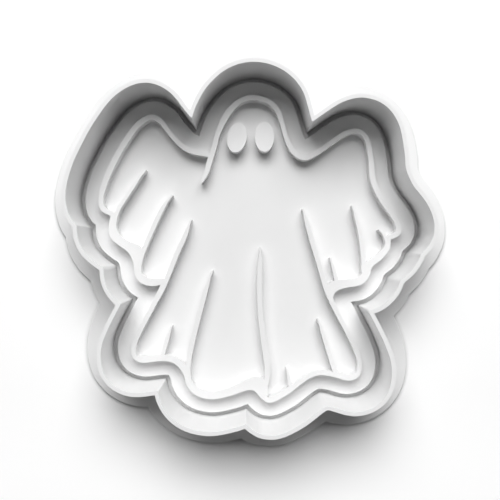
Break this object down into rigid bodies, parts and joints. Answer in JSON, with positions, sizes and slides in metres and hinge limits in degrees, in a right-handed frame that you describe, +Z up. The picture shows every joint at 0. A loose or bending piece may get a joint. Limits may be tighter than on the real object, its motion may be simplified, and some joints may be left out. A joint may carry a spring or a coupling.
{
  "type": "cookie cutter",
  "caption": "Ghost-shaped cookie cutter: a thin upright cutting wall on a flat flange, with a loose embossing stamp of raised fold lines and eyes lying inside it.",
  "frame": {"origin": "on the table, at the middle of the flange's footprint", "axes": "+Z up through the open cutting edge, +Y towards the ghost's head, +X towards its right-hand side as drawn"},
  "size_m": [0.0882, 0.0892, 0.0145],
  "materials": {
    "cutter_plastic": "matte white printed plastic",
    "stamp_plastic": "matte white printed plastic"
  },
  "bodies": {
    "cutter": {"cutter_frame": "cutter_plastic"},
    "stamp": {"stamp_plate": "stamp_plastic"}
  },
  "joints": [
    {"name": "stamp_slide", "type": "slide", "parent": "cutter", "child": "stamp", "axis": [0, 0, 1], "range_m": [0, 0.0145]}
  ]
}
